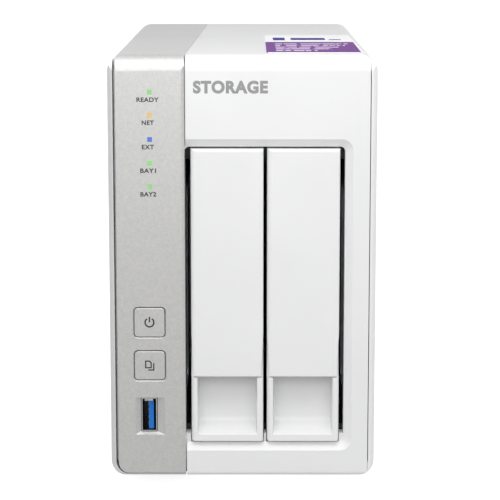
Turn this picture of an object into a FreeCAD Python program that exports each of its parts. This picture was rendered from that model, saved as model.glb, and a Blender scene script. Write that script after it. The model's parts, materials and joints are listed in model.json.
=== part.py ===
import FreeCAD, Part
import math
import os

# Desktop network storage box for two hard drives, with two sliding drive trays.
# Millimetres. X runs to the right, Y to the back and Z up. The origin is the centre of the
# footprint, on the surface that the feet stand on.

# Case
WIDTH = 102.0
DEPTH = 219.0
FOOT_HEIGHT = 5.5
SHELL_TOP = 168.3
WALL = 2.4
EDGE_R = 6.5
BROW_R = 6.0
SILL_R = 1.5
REAR_R = 1.0
CORNER_R = 2.0
HALF = WIDTH / 2
FRONT = -DEPTH / 2
BACK = DEPTH / 2
FAR = 300.0
FLOOR = FOOT_HEIGHT + WALL
CEILING = SHELL_TOP - WALL
SEAM_GAP = 0.12
TOP_SEAM_Y = FRONT + 6.0
SEAM_X_FRONT = -21.8
SEAM_X_BACK = -17.6
GROOVE_LEFT = -HALF + 2.0
GROOVE_R = 5.0
RIM_LOW = FOOT_HEIGHT + 0.8
RIGHT_WRAP = HALF - 2.6

# Control strip on the left of the front
STRIP_LEFT = -48.0
STRIP_RIGHT = -22.0
STRIP_LOW = RIM_LOW + 0.2
STRIP_R = 4.2
STRIP_SKIN = 2.2
STRIP_BEVEL = 1.1
STRIP_BEVEL_DEEP = 0.35
STRIP_X = -35.7
LAMP_X = -35.05
LAMP_SIZE = 1.8
LAMP_ZS = [154.5, 145.8, 136.6, 127.6, 118.6]
AMBER_LAMP = 1
BLUE_LAMP = 2
BUTTON_W = 11.6
BUTTON_H = 11.2
BUTTON_R = 1.3
BUTTON_GAP = 0.3
BUTTON_CHAMFER = 0.35
BUTTON_EDGE = 0.3
BUTTON_FLANGE = 0.9
BUTTON_ZS = {"power": 66.1, "copy": 49.2}
PLATE_FRONT = FRONT + 2.3
PLATE_BACK = PLATE_FRONT + 1.8
BOARD_FRONT = FRONT + 7.9
BOARD_THICK = 1.6
SWITCH_FRONT = BOARD_FRONT - 2.0
STEM_END = SWITCH_FRONT - 1.2

# Drive bay and its opening in the bezel
BEZEL_LEFT = -21.55
BAY_LEFT = -22.1
BAY_RIGHT = 39.0
BAY_LOW = 18.5
BAY_HIGH = 133.7
BAY_R = 2.0
FUNNEL_WIDE = 3.0
FUNNEL_DEEP = 2.0
COLLAR_WALL = 1.6
COLLAR_BACK = FRONT + 8.5
FOOT_BLOCK_TOP = 21.8
FOOT_BLOCK_FRONT = FRONT + STRIP_SKIN + 0.3
GUIDE_GAP = 0.3

# Trays
TRAY_CENTRES = [-5.9, 23.2]
TRAY_HALF = 13.85
TRAY_LEFT_R = 1.8
TRAY_RIGHT_R = 0.9
TRAY_LOW = 19.3
TRAY_HIGH = 133.0
RAIL_LOW = 19.6
RAIL_HIGH = 132.7
RAIL_HEIGHT = 5.6
FRONT_PLATE_Y = FRONT + 10.0
CARRIER_FRONT = FRONT + 13.0
CARRIER_BACK = 55.0
SIDE_PLATE = 0.8
HANDLE_LOW = 44.7
HANDLE_SKIN = 1.4
HANDLE_BACK = FRONT + 7.0
HANDLE_CUT_Z = 62.0
SCOOP_TAPER = 0.8
TRAY_VENTS = 9
TRAY_VENT_HALF = 9.0
TRAY_VENT_LOW = 78.0
TRAY_VENT_PITCH = 5.0
HANDLE_TAPER = 0.9
RIM = 2.3
SCOOP_TOP = 54.0
PIN_Y = FRONT + 3.0
PIN_Z = 128.0
PIN_R = 0.6
PIN_FIT = 0.05
EAR_R = 1.3
EAR_TOP = 0.3

# 3.5 inch hard drive, standing on its long edge
DRIVE_LENGTH = 147.0
DRIVE_WIDTH = 101.6
DRIVE_LEFT = -12.9
DRIVE_RIGHT = 13.2
DRIVE_FRONT = -93.5
DRIVE_BACK = DRIVE_FRONT + DRIVE_LENGTH
DRIVE_LOW = RAIL_LOW + RAIL_HEIGHT + 0.15
DRIVE_HIGH = DRIVE_LOW + DRIVE_WIDTH
DRIVE_SCREW_YS = [-65.0, 36.6]

# Steel cage round the trays
CAGE_LEFT = -23.0
CAGE_RIGHT = 40.3
CAGE_LOW = 16.7
CAGE_HIGH = 135.6
CAGE_FRONT = FRONT + 9.0
CAGE_BACK = 56.0
SHEET = 1.0
CAGE_SCREWS = [(-25.2, -60.0), (-25.2, 40.0), (42.4, -60.0), (42.4, 40.0)]

# Boards
BACKPLANE_Y = 58.0
BACKPLANE_LEFT = -40.5
MAIN_X = -45.0
MAIN_FACE = MAIN_X + BOARD_THICK
MAIN_FRONT = -80.0
MAIN_BACK = 105.0
MAIN_LOW = 20.0
MAIN_HIGH = 150.0
MAIN_SCREWS = [(-72.0, 28.0), (-72.0, 142.0), (15.0, 28.0), (15.0, 142.0), (80.0, 25.0), (80.0, 145.0)]
CHIP_Y = 5.0
CHIP_Z = 95.0
CHIP_SIZE = 21.0
CHIP_HIGH = 1.5
SINK_SIZE = 40.0
SINK_DEEP = 12.0
FIN_COUNT = 9
FIN_THICK = 1.6
MEMORY_Y = 45.0
MEMORY_LOW = 90.0
MEMORY_PITCH = 16.0
MEMORY_COUNT = 4
SMALL_CHIPS = [(-40, 60, 12), (-45, 100, 9), (-30, 130, 7), (62, 95, 10), (62, 70, 8), (-10, 50, 9)]
CAPACITORS = [(78, 36), (67, 36), (56, 36), (45, 36), (78, 62), (78, 110)]
CAPACITOR_R = 4.0
CAPACITOR_HIGH = 11.0
CELL_Y = -50.0
CELL_Z = 35.0
CELL_R = 10.0
CELL_HIGH = 3.2

# Rear
PANEL_FRONT = BACK - 2.8
PANEL_BACK = PANEL_FRONT + SHEET
FAN_X = 8.0
FAN_Z = 110.0
FAN_SIZE = 70.0
FAN_DEEP = 15.0
FAN_BORE_R = 33.6
FAN_SCREW = 30.0
FAN_BACK = PANEL_FRONT - 0.2
FAN_FRONT = FAN_BACK - FAN_DEEP
GRILLE_RINGS = 5
GRILLE_R = 33.0
GRILLE_PITCH = 5.4
GRILLE_SLOT = 3.6
SPOKE_WIDE = 2.2
VENT_COLUMNS = [-20.0, 1.0, 22.0]
VENT_LONG = 17.0
VENT_ROWS = 8
VENT_LOW = 18.0
VENT_PITCH = 6.0
VENT_SLOT = 2.6
HUB_R = 13.5
BLADE_R = 32.8
BLADE_COUNT = 7
LAN_ZS = [98.0, 78.0]
REAR_PORT_ZS = [135.0, 118.5]
PORT_LONG = 13.2
PORT_SHORT = 6.0
FRONT_PORT_X = -36.1
FRONT_PORT_Z = 29.6
REAR_PORT_X = MAIN_FACE + 6.5
LAN_WIDE = 13.5
LAN_TALL = 16.0
LAN_FRONT = BACK - 23.0
JACK_Z = 52.0
JACK_X = MAIN_FACE + 5.5
JACK_R = 3.2
RESET_Z = 149.0
RESET_X = MAIN_FACE + 3.5
LOCK_X = -36.0
LOCK_Z = 28.0
CASE_SCREWS = [(-44.5, 12.1), (44.5, 12.1), (-44.5, 161.7), (44.5, 161.7)]

# Feet and fasteners
FEET = [(-36.0, -78.0), (36.0, -78.0), (-36.0, 90.0), (36.0, 90.0)]
FOOT_R = 7.0
SCREW_R = 1.5
HOLE_R = 1.6
HEAD_R = 2.8
HEAD_HIGH = 1.8
BOSS_R = 3.6

AXES = {"x": FreeCAD.Vector(1, 0, 0), "y": FreeCAD.Vector(0, 1, 0), "z": FreeCAD.Vector(0, 0, 1)}


def place(axis, along, a, b):
    """The point at a distance along one axis, with a and b the other two coordinates in order."""
    if axis == "x":
        return FreeCAD.Vector(along, a, b)
    if axis == "y":
        return FreeCAD.Vector(a, along, b)
    return FreeCAD.Vector(a, b, along)


def box(x0, x1, y0, y1, z0, z1):
    return Part.makeBox(x1 - x0, y1 - y0, z1 - z0, FreeCAD.Vector(x0, y0, z0))


def rod(axis, a, b, radius, start, end):
    """Cylinder along one axis from start to end."""
    return Part.makeCylinder(radius, end - start, place(axis, start, a, b), AXES[axis])


def cone(axis, a, b, radius_1, radius_2, start, end):
    return Part.makeCone(radius_1, radius_2, end - start, place(axis, start, a, b), AXES[axis])


def rect(a0, a1, b0, b1, radius=0.0):
    """Four corners with one radius, for an outline."""
    return [(a0, b0, radius), (a1, b0, radius), (a1, b1, radius), (a0, b1, radius)]


def outline(axis, along, corners):
    """Closed wire across an axis through (a, b, radius) corners, each rounded by its radius."""
    stops = []
    for number, (a, b, radius) in enumerate(corners):
        here = FreeCAD.Vector(a, b, 0)
        before = FreeCAD.Vector(corners[number - 1][0], corners[number - 1][1], 0) - here
        after_a, after_b, _ = corners[(number + 1) % len(corners)]
        after = FreeCAD.Vector(after_a, after_b, 0) - here
        before.normalize()
        after.normalize()
        half_turn = before.getAngle(after) / 2
        reach = radius / math.tan(half_turn)
        middle = before + after
        if radius > 0:
            middle.normalize()
            middle = here + middle * (radius / math.sin(half_turn) - radius)
        stops.append((here + before * reach, middle, here + after * reach, radius))
    edges = []
    for number, (start, middle, end, radius) in enumerate(stops):
        last_end = stops[number - 1][2]
        if (start - last_end).Length > 1e-6:
            edges.append(Part.LineSegment(place(axis, along, last_end.x, last_end.y),
                                          place(axis, along, start.x, start.y)).toShape())
        if radius > 0:
            edges.append(Part.Arc(place(axis, along, start.x, start.y),
                                  place(axis, along, middle.x, middle.y),
                                  place(axis, along, end.x, end.y)).toShape())
    return Part.Wire(edges)


def prism(axis, start, end, corners):
    """Solid with a rounded outline, from start to end along an axis."""
    return Part.Face(outline(axis, start, corners)).extrude(AXES[axis] * (end - start))


def funnel(axis, start, corners_1, end, corners_2):
    """Solid that changes evenly from one outline to another."""
    return Part.makeLoft([outline(axis, start, corners_1), outline(axis, end, corners_2)], True, True)


def join(shapes):
    """One solid from shapes that touch or overlap."""
    whole = shapes[0].multiFuse(shapes[1:])
    return whole.removeSplitter()


def save(name, shapes):
    """Writes one node: a solid, or a group of separate solids."""
    solids = []
    for shape in shapes if isinstance(shapes, list) else [shapes]:
        solids.extend(shape.Solids)
    if not solids or any(solid.Volume <= 0 or not solid.isValid() for solid in solids):
        raise ValueError("bad solid in " + name)
    if not isinstance(shapes, list) and len(solids) != 1:
        raise ValueError("%s is in %d pieces" % (name, len(solids)))
    whole = solids[0] if len(solids) == 1 else Part.makeCompound(solids)
    whole.exportStep("parts/" + name + ".step")


# ---- Case ----

def envelope(inset):
    """Outer form of the case, shrunk by an inset all round: three rounded outlines crossed."""
    side = HALF - inset
    front = FRONT + inset
    back = BACK - inset
    low = FOOT_HEIGHT + inset
    high = SHELL_TOP - inset
    edge = EDGE_R - inset
    brow = BROW_R - inset
    sill = max(SILL_R - inset, 0.3)
    rear = max(REAR_R - inset, 0.3)
    corner = max(CORNER_R - inset, 0.3)
    across = prism("y", front, back, rect(-side, side, low, high, edge))
    profile = prism("x", -side, side,
                    [(front, low, sill), (back, low, rear), (back, high, rear), (front, high, brow)])
    plan = prism("z", low, high,
                 [(-side, front, corner), (side, front, corner), (side, back, rear), (-side, back, rear)])
    return across.common(profile).common(plan)


def seam_x(y):
    """Where the slanting seam between the two shells is, at a distance along the case."""
    return SEAM_X_FRONT + (y - FRONT) / DEPTH * (SEAM_X_BACK - SEAM_X_FRONT)


def seam_side(outer_x, offset):
    """Everything between the seam, moved sideways by an offset, and a far plane on one side."""
    near_y = FRONT - 5
    far_y = BACK + 5
    corners = [(outer_x, near_y, 0), (seam_x(near_y) + offset, near_y, 0),
               (seam_x(far_y) + offset, far_y, 0), (outer_x, far_y, 0)]
    return prism("z", 0, SHELL_TOP + 5, corners)


def case_tube():
    """The case walls before the seams are cut: open at the front and back."""
    inner = HALF - WALL
    hollow = prism("y", FRONT - 1, BACK + 1, rect(-inner, inner, FLOOR, CEILING, EDGE_R - WALL))
    return envelope(0).cut(hollow)


def vent_slots(x0, x1, y0, y1, pitch, slot, z0, z1):
    """Round-ended slots across X, side by side along Y, through a wall between two heights."""
    slots = []
    for number in range(int((y1 - y0) / pitch) + 1):
        y = y0 + number * pitch
        slots.append(prism("z", z0, z1, rect(x0, x1, y, y + slot, slot / 2 - 0.01)))
    return slots


def case_bosses(side):
    """Screw bosses of one shell: rear corners, and under the cage. Side is -1 left or 1 right."""
    bosses = []
    for x, z in CASE_SCREWS:
        if x * side > 0:
            bosses.append(rod("y", x, z, 4.3, BACK - 20, PANEL_FRONT).cut(
                rod("y", x, z, HOLE_R, BACK - 14, PANEL_FRONT + 1)))
    for x, y in CAGE_SCREWS:
        if x * side > 0:
            bosses.append(rod("z", x, y, BOSS_R, FLOOR - 0.5, CAGE_LOW).cut(
                rod("z", x, y, HOLE_R, FLOOR + 2, CAGE_LOW + 1)))
    return bosses


def foot_seats(side):
    """Shallow round seats and holes under one shell, for the feet."""
    seats = []
    for x, y in FEET:
        if x * side > 0:
            seats.append(rod("z", x, y, FOOT_R + 0.2, FOOT_HEIGHT - 1, FOOT_HEIGHT + 0.8))
            seats.append(rod("z", x, y, 2.1, FOOT_HEIGHT - 1, FLOOR + 1))
    return seats


def strip_outline(left, right, low, radius):
    """Outline with one rounded corner, at the bottom left, where the case wraps round the strip."""
    return [(left, low, radius), (right, low, 0), (right, FAR, 0), (left, FAR, 0)]


def left_shell():
    """Silver cover: left side, left part of the top and bottom, and a lip beside the strip."""
    shell = case_tube().common(seam_side(-FAR, -SEAM_GAP / 2))
    shell = shell.cut(prism("y", FRONT - 1, TOP_SEAM_Y, strip_outline(GROOVE_LEFT, FAR, RIM_LOW, GROOVE_R)))
    shell = shell.cut(box(STRIP_RIGHT, FAR, FRONT - 1, TOP_SEAM_Y, 0, FAR))
    posts = []
    for y, z in MAIN_SCREWS:
        post = rod("x", y, z, 3.0, -HALF + WALL - 0.5, MAIN_X)
        posts.append(post.cut(rod("x", y, z, HOLE_R, -HALF + WALL + 0.5, MAIN_X + 1)))
    shell = join([shell] + case_bosses(-1) + posts)
    slots = vent_slots(-44, -28, -55, 55, 8, 3, FOOT_HEIGHT - 1, FLOOR + 1)
    return shell.cut(slots + foot_seats(-1))


def right_shell():
    """White cover: right side and most of the top and bottom, with a lip under the top seam."""
    shell = case_tube().common(seam_side(FAR, SEAM_GAP / 2))
    shell = shell.cut(box(-FAR, RIGHT_WRAP, FRONT - 1, TOP_SEAM_Y, 0, FAR))
    lip_band = seam_side(-FAR, 2).cut(seam_side(-FAR, -2.5))
    notches = [rod("z", x, y, BOSS_R + 0.4, 0, CAGE_LOW) for x, y in CAGE_SCREWS if x < 0]
    lips = []
    for low, high in [(CEILING - 1, CEILING), (FLOOR, FLOOR + 1)]:
        lip = lip_band.common(box(-FAR, FAR, TOP_SEAM_Y + 0.5, PANEL_FRONT - 1, low, high))
        step = lip_band.common(box(-FAR, FAR, TOP_SEAM_Y + 0.5, PANEL_FRONT - 1, low - 0.2, high + 0.2))
        lips.append(join([lip, step.common(seam_side(FAR, 0.4))]).cut(notches))
    shell = join([shell] + lips + case_bosses(1))
    slots = vent_slots(-8, 18, -55, 55, 8, 3, FOOT_HEIGHT - 1, FLOOR + 1)
    return shell.cut(slots + foot_seats(1))


def bay_outline(grow, radius, left=BAY_LEFT):
    """Outline of the bay's opening, grown on every side."""
    return rect(left - grow, BAY_RIGHT + grow, BAY_LOW - grow, BAY_HIGH + grow, radius)


def bay_guides():
    """Low blocks on the bay's floor, beside and between the trays, that steer the tray fronts in."""
    left_tray = TRAY_CENTRES[0]
    right_tray = TRAY_CENTRES[1]
    reach = TRAY_HALF + GUIDE_GAP
    spans = [(BAY_LEFT - 0.5, left_tray - reach), (left_tray + reach, right_tray - reach),
             (right_tray + reach, BAY_RIGHT + 0.5)]
    return [box(x0, x1, FOOT_BLOCK_FRONT, COLLAR_BACK, BAY_LOW - 0.5, FOOT_BLOCK_TOP) for x0, x1 in spans]


def front_bezel():
    """White front moulding: face, flared bay opening, collar, and the plate behind the strip."""
    front_part = box(BEZEL_LEFT, RIGHT_WRAP - SEAM_GAP, FRONT - 1, TOP_SEAM_Y - SEAM_GAP, 0, FAR)
    face = envelope(0).common(front_part)
    face = face.cut(envelope(WALL))
    reach = FUNNEL_WIDE / FUNNEL_DEEP
    flare = funnel("y", FRONT - 1, bay_outline(FUNNEL_WIDE + reach, 5.5, -30),
                   FRONT + FUNNEL_DEEP, bay_outline(0, BAY_R, -30))
    face = face.cut(flare)
    collar = prism("y", FRONT + WALL, COLLAR_BACK, bay_outline(COLLAR_WALL, BAY_R + COLLAR_WALL))
    plate = box(STRIP_LEFT, BEZEL_LEFT + 1, PLATE_FRONT, PLATE_BACK, FLOOR + 0.1, CEILING - 0.1)
    floor_strip = box(GROOVE_LEFT + 0.1, STRIP_LEFT, PLATE_BACK - 0.8, PLATE_BACK, FLOOR + 3, CEILING - 3)
    plate = join([plate, floor_strip]).common(envelope(WALL - 0.05))
    bezel = join([face, collar, plate])
    bezel = bezel.cut(prism("y", FRONT, COLLAR_BACK + 1, bay_outline(0, BAY_R)))
    bezel = join([bezel] + bay_guides())
    holes = []
    for z in LAMP_ZS:
        holes.append(rod("y", LAMP_X, z, LAMP_SIZE * 0.8, PLATE_FRONT - 1, PLATE_BACK + 1))
    for z in BUTTON_ZS.values():
        holes.append(prism("y", PLATE_FRONT - 1, PLATE_BACK + 1, button_outline(z, BUTTON_FLANGE + 0.5)))
    holes.append(port_hole(FRONT_PORT_X, FRONT_PORT_Z, 0.15, PLATE_FRONT - 1, PLATE_BACK + 1))
    return bezel.cut(holes)


def port_hole(x, z, gap, start, end):
    """Clearance for an upright serial-bus port."""
    half_x = PORT_SHORT / 2 + gap
    half_z = PORT_LONG / 2 + gap
    return prism("y", start, end, rect(x - half_x, x + half_x, z - half_z, z + half_z, 0.5))


def button_outline(z, grow):
    """Outline of a button's cap, grown on every side."""
    wide = BUTTON_W / 2 + grow
    tall = BUTTON_H / 2 + grow
    return rect(STRIP_X - wide, STRIP_X + wide, z - tall, z + tall, BUTTON_R + grow)


def control_strip():
    """Metallic strip on the left of the front, with the lamps, buttons and port in it."""
    front_part = prism("y", FRONT - 1, TOP_SEAM_Y - SEAM_GAP,
                       strip_outline(STRIP_LEFT, STRIP_RIGHT, STRIP_LOW, STRIP_R))
    strip = envelope(0).common(front_part).cut(envelope(STRIP_SKIN))
    nose = FRONT - 0.01
    right_bevel = prism("z", 0, FAR, [(STRIP_RIGHT - STRIP_BEVEL, nose, 0), (STRIP_RIGHT + 0.01, nose, 0),
                                      (STRIP_RIGHT + 0.01, FRONT + STRIP_BEVEL_DEEP, 0)])
    cuts = [right_bevel]
    for z in LAMP_ZS:
        half = LAMP_SIZE / 2 + 0.03
        cuts.append(box(LAMP_X - half, LAMP_X + half, FRONT - 1, FRONT + 3, z - half, z + half))
    for z in BUTTON_ZS.values():
        cuts.append(prism("y", FRONT - 1, FRONT + 3, button_outline(z, BUTTON_GAP)))
        cuts.append(funnel("y", nose, button_outline(z, BUTTON_GAP + BUTTON_CHAMFER),
                           FRONT + BUTTON_CHAMFER, button_outline(z, BUTTON_GAP)))
    inner = rect(FRONT_PORT_X - 3.25, FRONT_PORT_X + 3.25, FRONT_PORT_Z - 6.85, FRONT_PORT_Z + 6.85, 0.5)
    outer = rect(FRONT_PORT_X - 5.3, FRONT_PORT_X + 6.2, FRONT_PORT_Z - 7.8, FRONT_PORT_Z + 6.95, 0.5)
    cuts.append(funnel("y", nose, outer, FRONT + 1.3, inner))
    cuts.append(prism("y", FRONT, FRONT + 3, inner))
    return strip.cut(cuts)


def top_label():
    """Thin sticker that follows the top of the right shell round to its edge."""
    skin = 0.2
    side = HALF + skin
    grown = prism("y", FRONT, BACK, rect(-side, side, 0, SHELL_TOP + skin, EDGE_R + skin))
    sticker = prism("z", CEILING - 5, FAR, rect(9.2, 46.0, FRONT + 13.6, FRONT + 125.0, 1.5))
    return grown.common(sticker).cut(envelope(0))


def rubber_feet():
    feet = []
    for x, y in FEET:
        pad = cone("z", x, y, FOOT_R - 1.0, FOOT_R, 0, FOOT_HEIGHT)
        seat = rod("z", x, y, FOOT_R, FOOT_HEIGHT, FOOT_HEIGHT + 0.8)
        plug = rod("z", x, y, 2.0, FOOT_HEIGHT, FLOOR + 1.2)
        dish = rod("z", x, y, 3.0, -1, 0.8)
        feet.append(join([pad, seat, plug]).cut(dish))
    return feet


# ---- Control strip parts ----

def push_button(z):
    """Square cap with a rear flange that the strip holds in, and a stem to its switch."""
    cap = prism("y", FRONT + 0.05, FRONT + 3.0, button_outline(z, 0))
    edges = [edge for edge in cap.Edges if edge.BoundBox.YMax < FRONT + 0.1]
    cap = cap.makeFillet(BUTTON_EDGE, edges)
    flange = prism("y", FRONT + STRIP_SKIN + 0.35, FRONT + 3.5, button_outline(z, BUTTON_FLANGE))
    stem = rod("y", STRIP_X, z, 2.0, FRONT + 3.4, STEM_END)
    return join([cap, flange, stem])


def switch_plunger(z):
    """Small round plunger of a tact switch, which moves with the button's stem."""
    return rod("y", STRIP_X, z, 1.5, STEM_END, SWITCH_FRONT + 0.4)


def lens(z):
    """Square light guide from the strip's face to its lamp on the board."""
    half = LAMP_SIZE / 2
    head = box(LAMP_X - half, LAMP_X + half, FRONT + 0.1, PLATE_FRONT + 0.2, z - half, z + half)
    body = cone("y", LAMP_X, z, LAMP_SIZE * 0.7, LAMP_SIZE * 0.6, PLATE_FRONT + 0.1, BOARD_FRONT - 0.8)
    return join([head, body])


def lens_group(wanted):
    return [lens(z) for number, z in enumerate(LAMP_ZS) if number in wanted]


def front_board():
    """Narrow circuit board behind the strip, notched round the port, with its five lamps."""
    board = box(-46.5, -25.0, BOARD_FRONT, BOARD_FRONT + BOARD_THICK, 18, 158)
    notch = port_hole(FRONT_PORT_X, FRONT_PORT_Z, 0.2, BOARD_FRONT - 1, BOARD_FRONT + 3)
    lamps = [box(LAMP_X - 0.8, LAMP_X + 0.8, BOARD_FRONT - 0.8, BOARD_FRONT, z - 0.5, z + 0.5)
             for z in LAMP_ZS]
    return join([board.cut(notch)] + lamps)


def front_switches():
    """Bodies of the two tact switches, each with a well for its plunger."""
    bodies = []
    for z in BUTTON_ZS.values():
        body = box(STRIP_X - 3, STRIP_X + 3, SWITCH_FRONT, BOARD_FRONT, z - 3, z + 3)
        bodies.append(body.cut(rod("y", STRIP_X, z, 1.85, SWITCH_FRONT - 1, SWITCH_FRONT + 1.7)))
    return bodies


def port_shell(x, z, start, end, mouth_first):
    """Folded metal shell of an upright serial-bus port, open at its mouth."""
    half_x = PORT_SHORT / 2
    half_z = PORT_LONG / 2
    skin = 0.35
    shell = prism("y", start, end, rect(x - half_x, x + half_x, z - half_z, z + half_z, 0.5))
    inner = rect(x - half_x + skin, x + half_x - skin, z - half_z + skin, z + half_z - skin, 0.3)
    if mouth_first:
        return shell.cut(prism("y", start - 1, end - 1, inner))
    return shell.cut(prism("y", start + 1, end + 1, inner))


def port_shells():
    """Shells of the front port and the two rear ports."""
    shells = [port_shell(FRONT_PORT_X, FRONT_PORT_Z, FRONT + 1.2, FRONT + 16.0, True)]
    for z in REAR_PORT_ZS:
        shells.append(port_shell(REAR_PORT_X, z, BACK - 16.0, BACK - 1.3, False))
    return shells


def port_tongues():
    """Plastic tongues that carry the contacts inside the three ports."""
    offset = 0.75
    half_x = 0.95
    half_z = 5.5
    front_x = FRONT_PORT_X + offset
    front_z = FRONT_PORT_Z - 0.3
    tongues = [box(front_x - half_x, front_x + half_x, FRONT + 2.0, FRONT + 15.0,
                   front_z - half_z, front_z + half_z)]
    for z in REAR_PORT_ZS:
        tongues.append(box(REAR_PORT_X - offset - half_x, REAR_PORT_X - offset + half_x, BACK - 15.0,
                           BACK - 2.2, z - half_z, z + half_z))
    return tongues


def front_ribbon():
    """Flat cable from the front board round to the front edge of the main board."""
    lead_y = BOARD_FRONT + BOARD_THICK
    thick = 0.4
    corners = [(-40.0, lead_y, 0), (-40.0, lead_y + 6, 3.0), (-42.6, MAIN_FRONT + 2, 3.0),
               (-42.6, MAIN_FRONT + 10, 0), (-42.6 + thick, MAIN_FRONT + 10, 0),
               (-42.6 + thick, MAIN_FRONT + 2.1, 3.4), (-40.0 + thick, lead_y + 6.1, 2.6),
               (-40.0 + thick, lead_y, 0)]
    cable = prism("z", 96, 112, corners)
    plug = box(-43.4, -40.6, MAIN_FRONT + 10, MAIN_FRONT + 15, 94, 114)
    return join([cable, plug])


# ---- Main board ----

def on_board(y, z, long_y, tall_z, thick):
    """A block on the face of the main board, centred on y and z."""
    return box(MAIN_FACE, MAIN_FACE + thick, y - long_y / 2, y + long_y / 2, z - tall_z / 2, z + tall_z / 2)


def main_board():
    board = prism("x", MAIN_X, MAIN_FACE, rect(MAIN_FRONT, MAIN_BACK, MAIN_LOW, MAIN_HIGH, 2.0))
    return board.cut([rod("x", y, z, HOLE_R, MAIN_X - 1, MAIN_FACE + 1) for y, z in MAIN_SCREWS])


def heatsink():
    """Finned block that sits on the processor."""
    start = MAIN_FACE + CHIP_HIGH
    front = CHIP_Y - SINK_SIZE / 2
    low = CHIP_Z - SINK_SIZE / 2
    base = box(start, start + 2.5, front, front + SINK_SIZE, low, low + SINK_SIZE)
    fins = []
    for number in range(FIN_COUNT):
        z = low + number * (SINK_SIZE - FIN_THICK) / (FIN_COUNT - 1)
        fins.append(box(start + 2, start + SINK_DEEP, front, front + SINK_SIZE, z, z + FIN_THICK))
    return join([base] + fins)


def memory_chips():
    rows = [MEMORY_LOW + number * MEMORY_PITCH for number in range(MEMORY_COUNT)]
    return [on_board(MEMORY_Y, z, 9, 13, 1.1) for z in rows]


def small_chips():
    return [on_board(y, z, size, size, 1.2) for y, z, size in SMALL_CHIPS]


def lan_jacks():
    """Two network sockets with square cavities that face the back."""
    jacks = []
    for z in LAN_ZS:
        jack = box(MAIN_FACE, MAIN_FACE + LAN_WIDE, LAN_FRONT, BACK - 1.4,
                   z - LAN_TALL / 2, z + LAN_TALL / 2)
        hollow = box(MAIN_FACE + 1.6, MAIN_FACE + 9.4, BACK - 15, BACK, z - 6.0, z + 6.0)
        latch = box(MAIN_FACE + 9.3, MAIN_FACE + 12.0, BACK - 15, BACK, z - 3.0, z + 3.0)
        jacks.append(jack.cut([hollow, latch]))
    return jacks


def power_jack():
    """Barrel socket with a centre pin."""
    body = box(MAIN_FACE, MAIN_FACE + 11, BACK - 16, BACK - 1.5, JACK_Z - 4.8, JACK_Z + 4.8)
    well = rod("y", JACK_X, JACK_Z, JACK_R, BACK - 12, BACK)
    pin = rod("y", JACK_X, JACK_Z, 1.0, BACK - 13, BACK - 2.5)
    return join([body.cut(well), pin])


def reset_switch():
    """Body of the small switch behind the reset pinhole."""
    body = box(MAIN_FACE, MAIN_FACE + 7, BACK - 11, BACK - 6.5, RESET_Z - 3, RESET_Z + 3)
    return body.cut(rod("y", RESET_X, RESET_Z, 1.55, BACK - 9.5, BACK - 6))


def reset_button():
    """Round plunger of the reset switch, reached with a pin through the rear panel."""
    return rod("y", RESET_X, RESET_Z, 1.2, BACK - 7.8, BACK - 4.5)


def cell_holder():
    """Round cup that holds the coin cell on the main board."""
    ring = rod("x", CELL_Y, CELL_Z, CELL_R + 2.0, MAIN_FACE, MAIN_FACE + 4.5)
    return ring.cut(rod("x", CELL_Y, CELL_Z, CELL_R + 0.2, MAIN_FACE + 1.0, MAIN_FACE + 5))


def coin_cell():
    cell = rod("x", CELL_Y, CELL_Z, CELL_R, MAIN_FACE + 1.0, MAIN_FACE + 1.0 + CELL_HIGH)
    return cell.makeFillet(0.4, [edge for edge in cell.Edges if len(edge.Vertexes) == 1])


def capacitors():
    """Round capacitors near the power jack, each standing out of the board."""
    return [rod("x", y, z, CAPACITOR_R, MAIN_FACE, MAIN_FACE + CAPACITOR_HIGH) for y, z in CAPACITORS]


def link_socket():
    """Slotted socket on the main board that takes the edge of the backplane."""
    body = box(MAIN_FACE, BACKPLANE_LEFT + 4.5, BACKPLANE_Y - 2.5, BACKPLANE_Y + BOARD_THICK + 2.5,
               112, 148)
    slot = box(BACKPLANE_LEFT, 0, BACKPLANE_Y - 0.05, BACKPLANE_Y + BOARD_THICK + 0.05, 114, 146)
    return body.cut(slot)


def inner_screws():
    """Screws that hold the main board and the cage: identical, so one group."""
    screws = []
    for y, z in MAIN_SCREWS:
        head = rod("x", y, z, HEAD_R, MAIN_FACE, MAIN_FACE + HEAD_HIGH)
        screws.append(join([head, rod("x", y, z, SCREW_R, MAIN_X - 2.5, MAIN_FACE)]))
    for x, y in CAGE_SCREWS:
        base = CAGE_LOW + SHEET
        head = rod("z", x, y, HEAD_R - 0.8, base, base + HEAD_HIGH)
        screws.append(join([head, rod("z", x, y, SCREW_R, base - 5, base)]))
    return screws


# ---- Cage and backplane ----

def drive_cage():
    """Folded steel channel under and beside the trays, with feet for its screws."""
    floor = box(CAGE_LEFT - 4.5, CAGE_RIGHT + 4.5, CAGE_FRONT, CAGE_BACK, CAGE_LOW, CAGE_LOW + SHEET)
    left = box(CAGE_LEFT, CAGE_LEFT + SHEET, CAGE_FRONT, CAGE_BACK, CAGE_LOW, CAGE_HIGH - SHEET)
    right = box(CAGE_RIGHT - SHEET, CAGE_RIGHT, CAGE_FRONT, CAGE_BACK, CAGE_LOW, CAGE_HIGH - SHEET)
    cuts = [rod("z", x, y, HOLE_R, CAGE_LOW - 1, CAGE_LOW + 2) for x, y in CAGE_SCREWS]
    for start in [-92.0, -56.0, -20.0, 16.0]:
        cuts.append(prism("x", CAGE_LEFT - 1, CAGE_RIGHT + 1, rect(start, start + 20, 36, 116, 4.0)))
    return join([floor, left, right]).cut(cuts)


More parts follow.
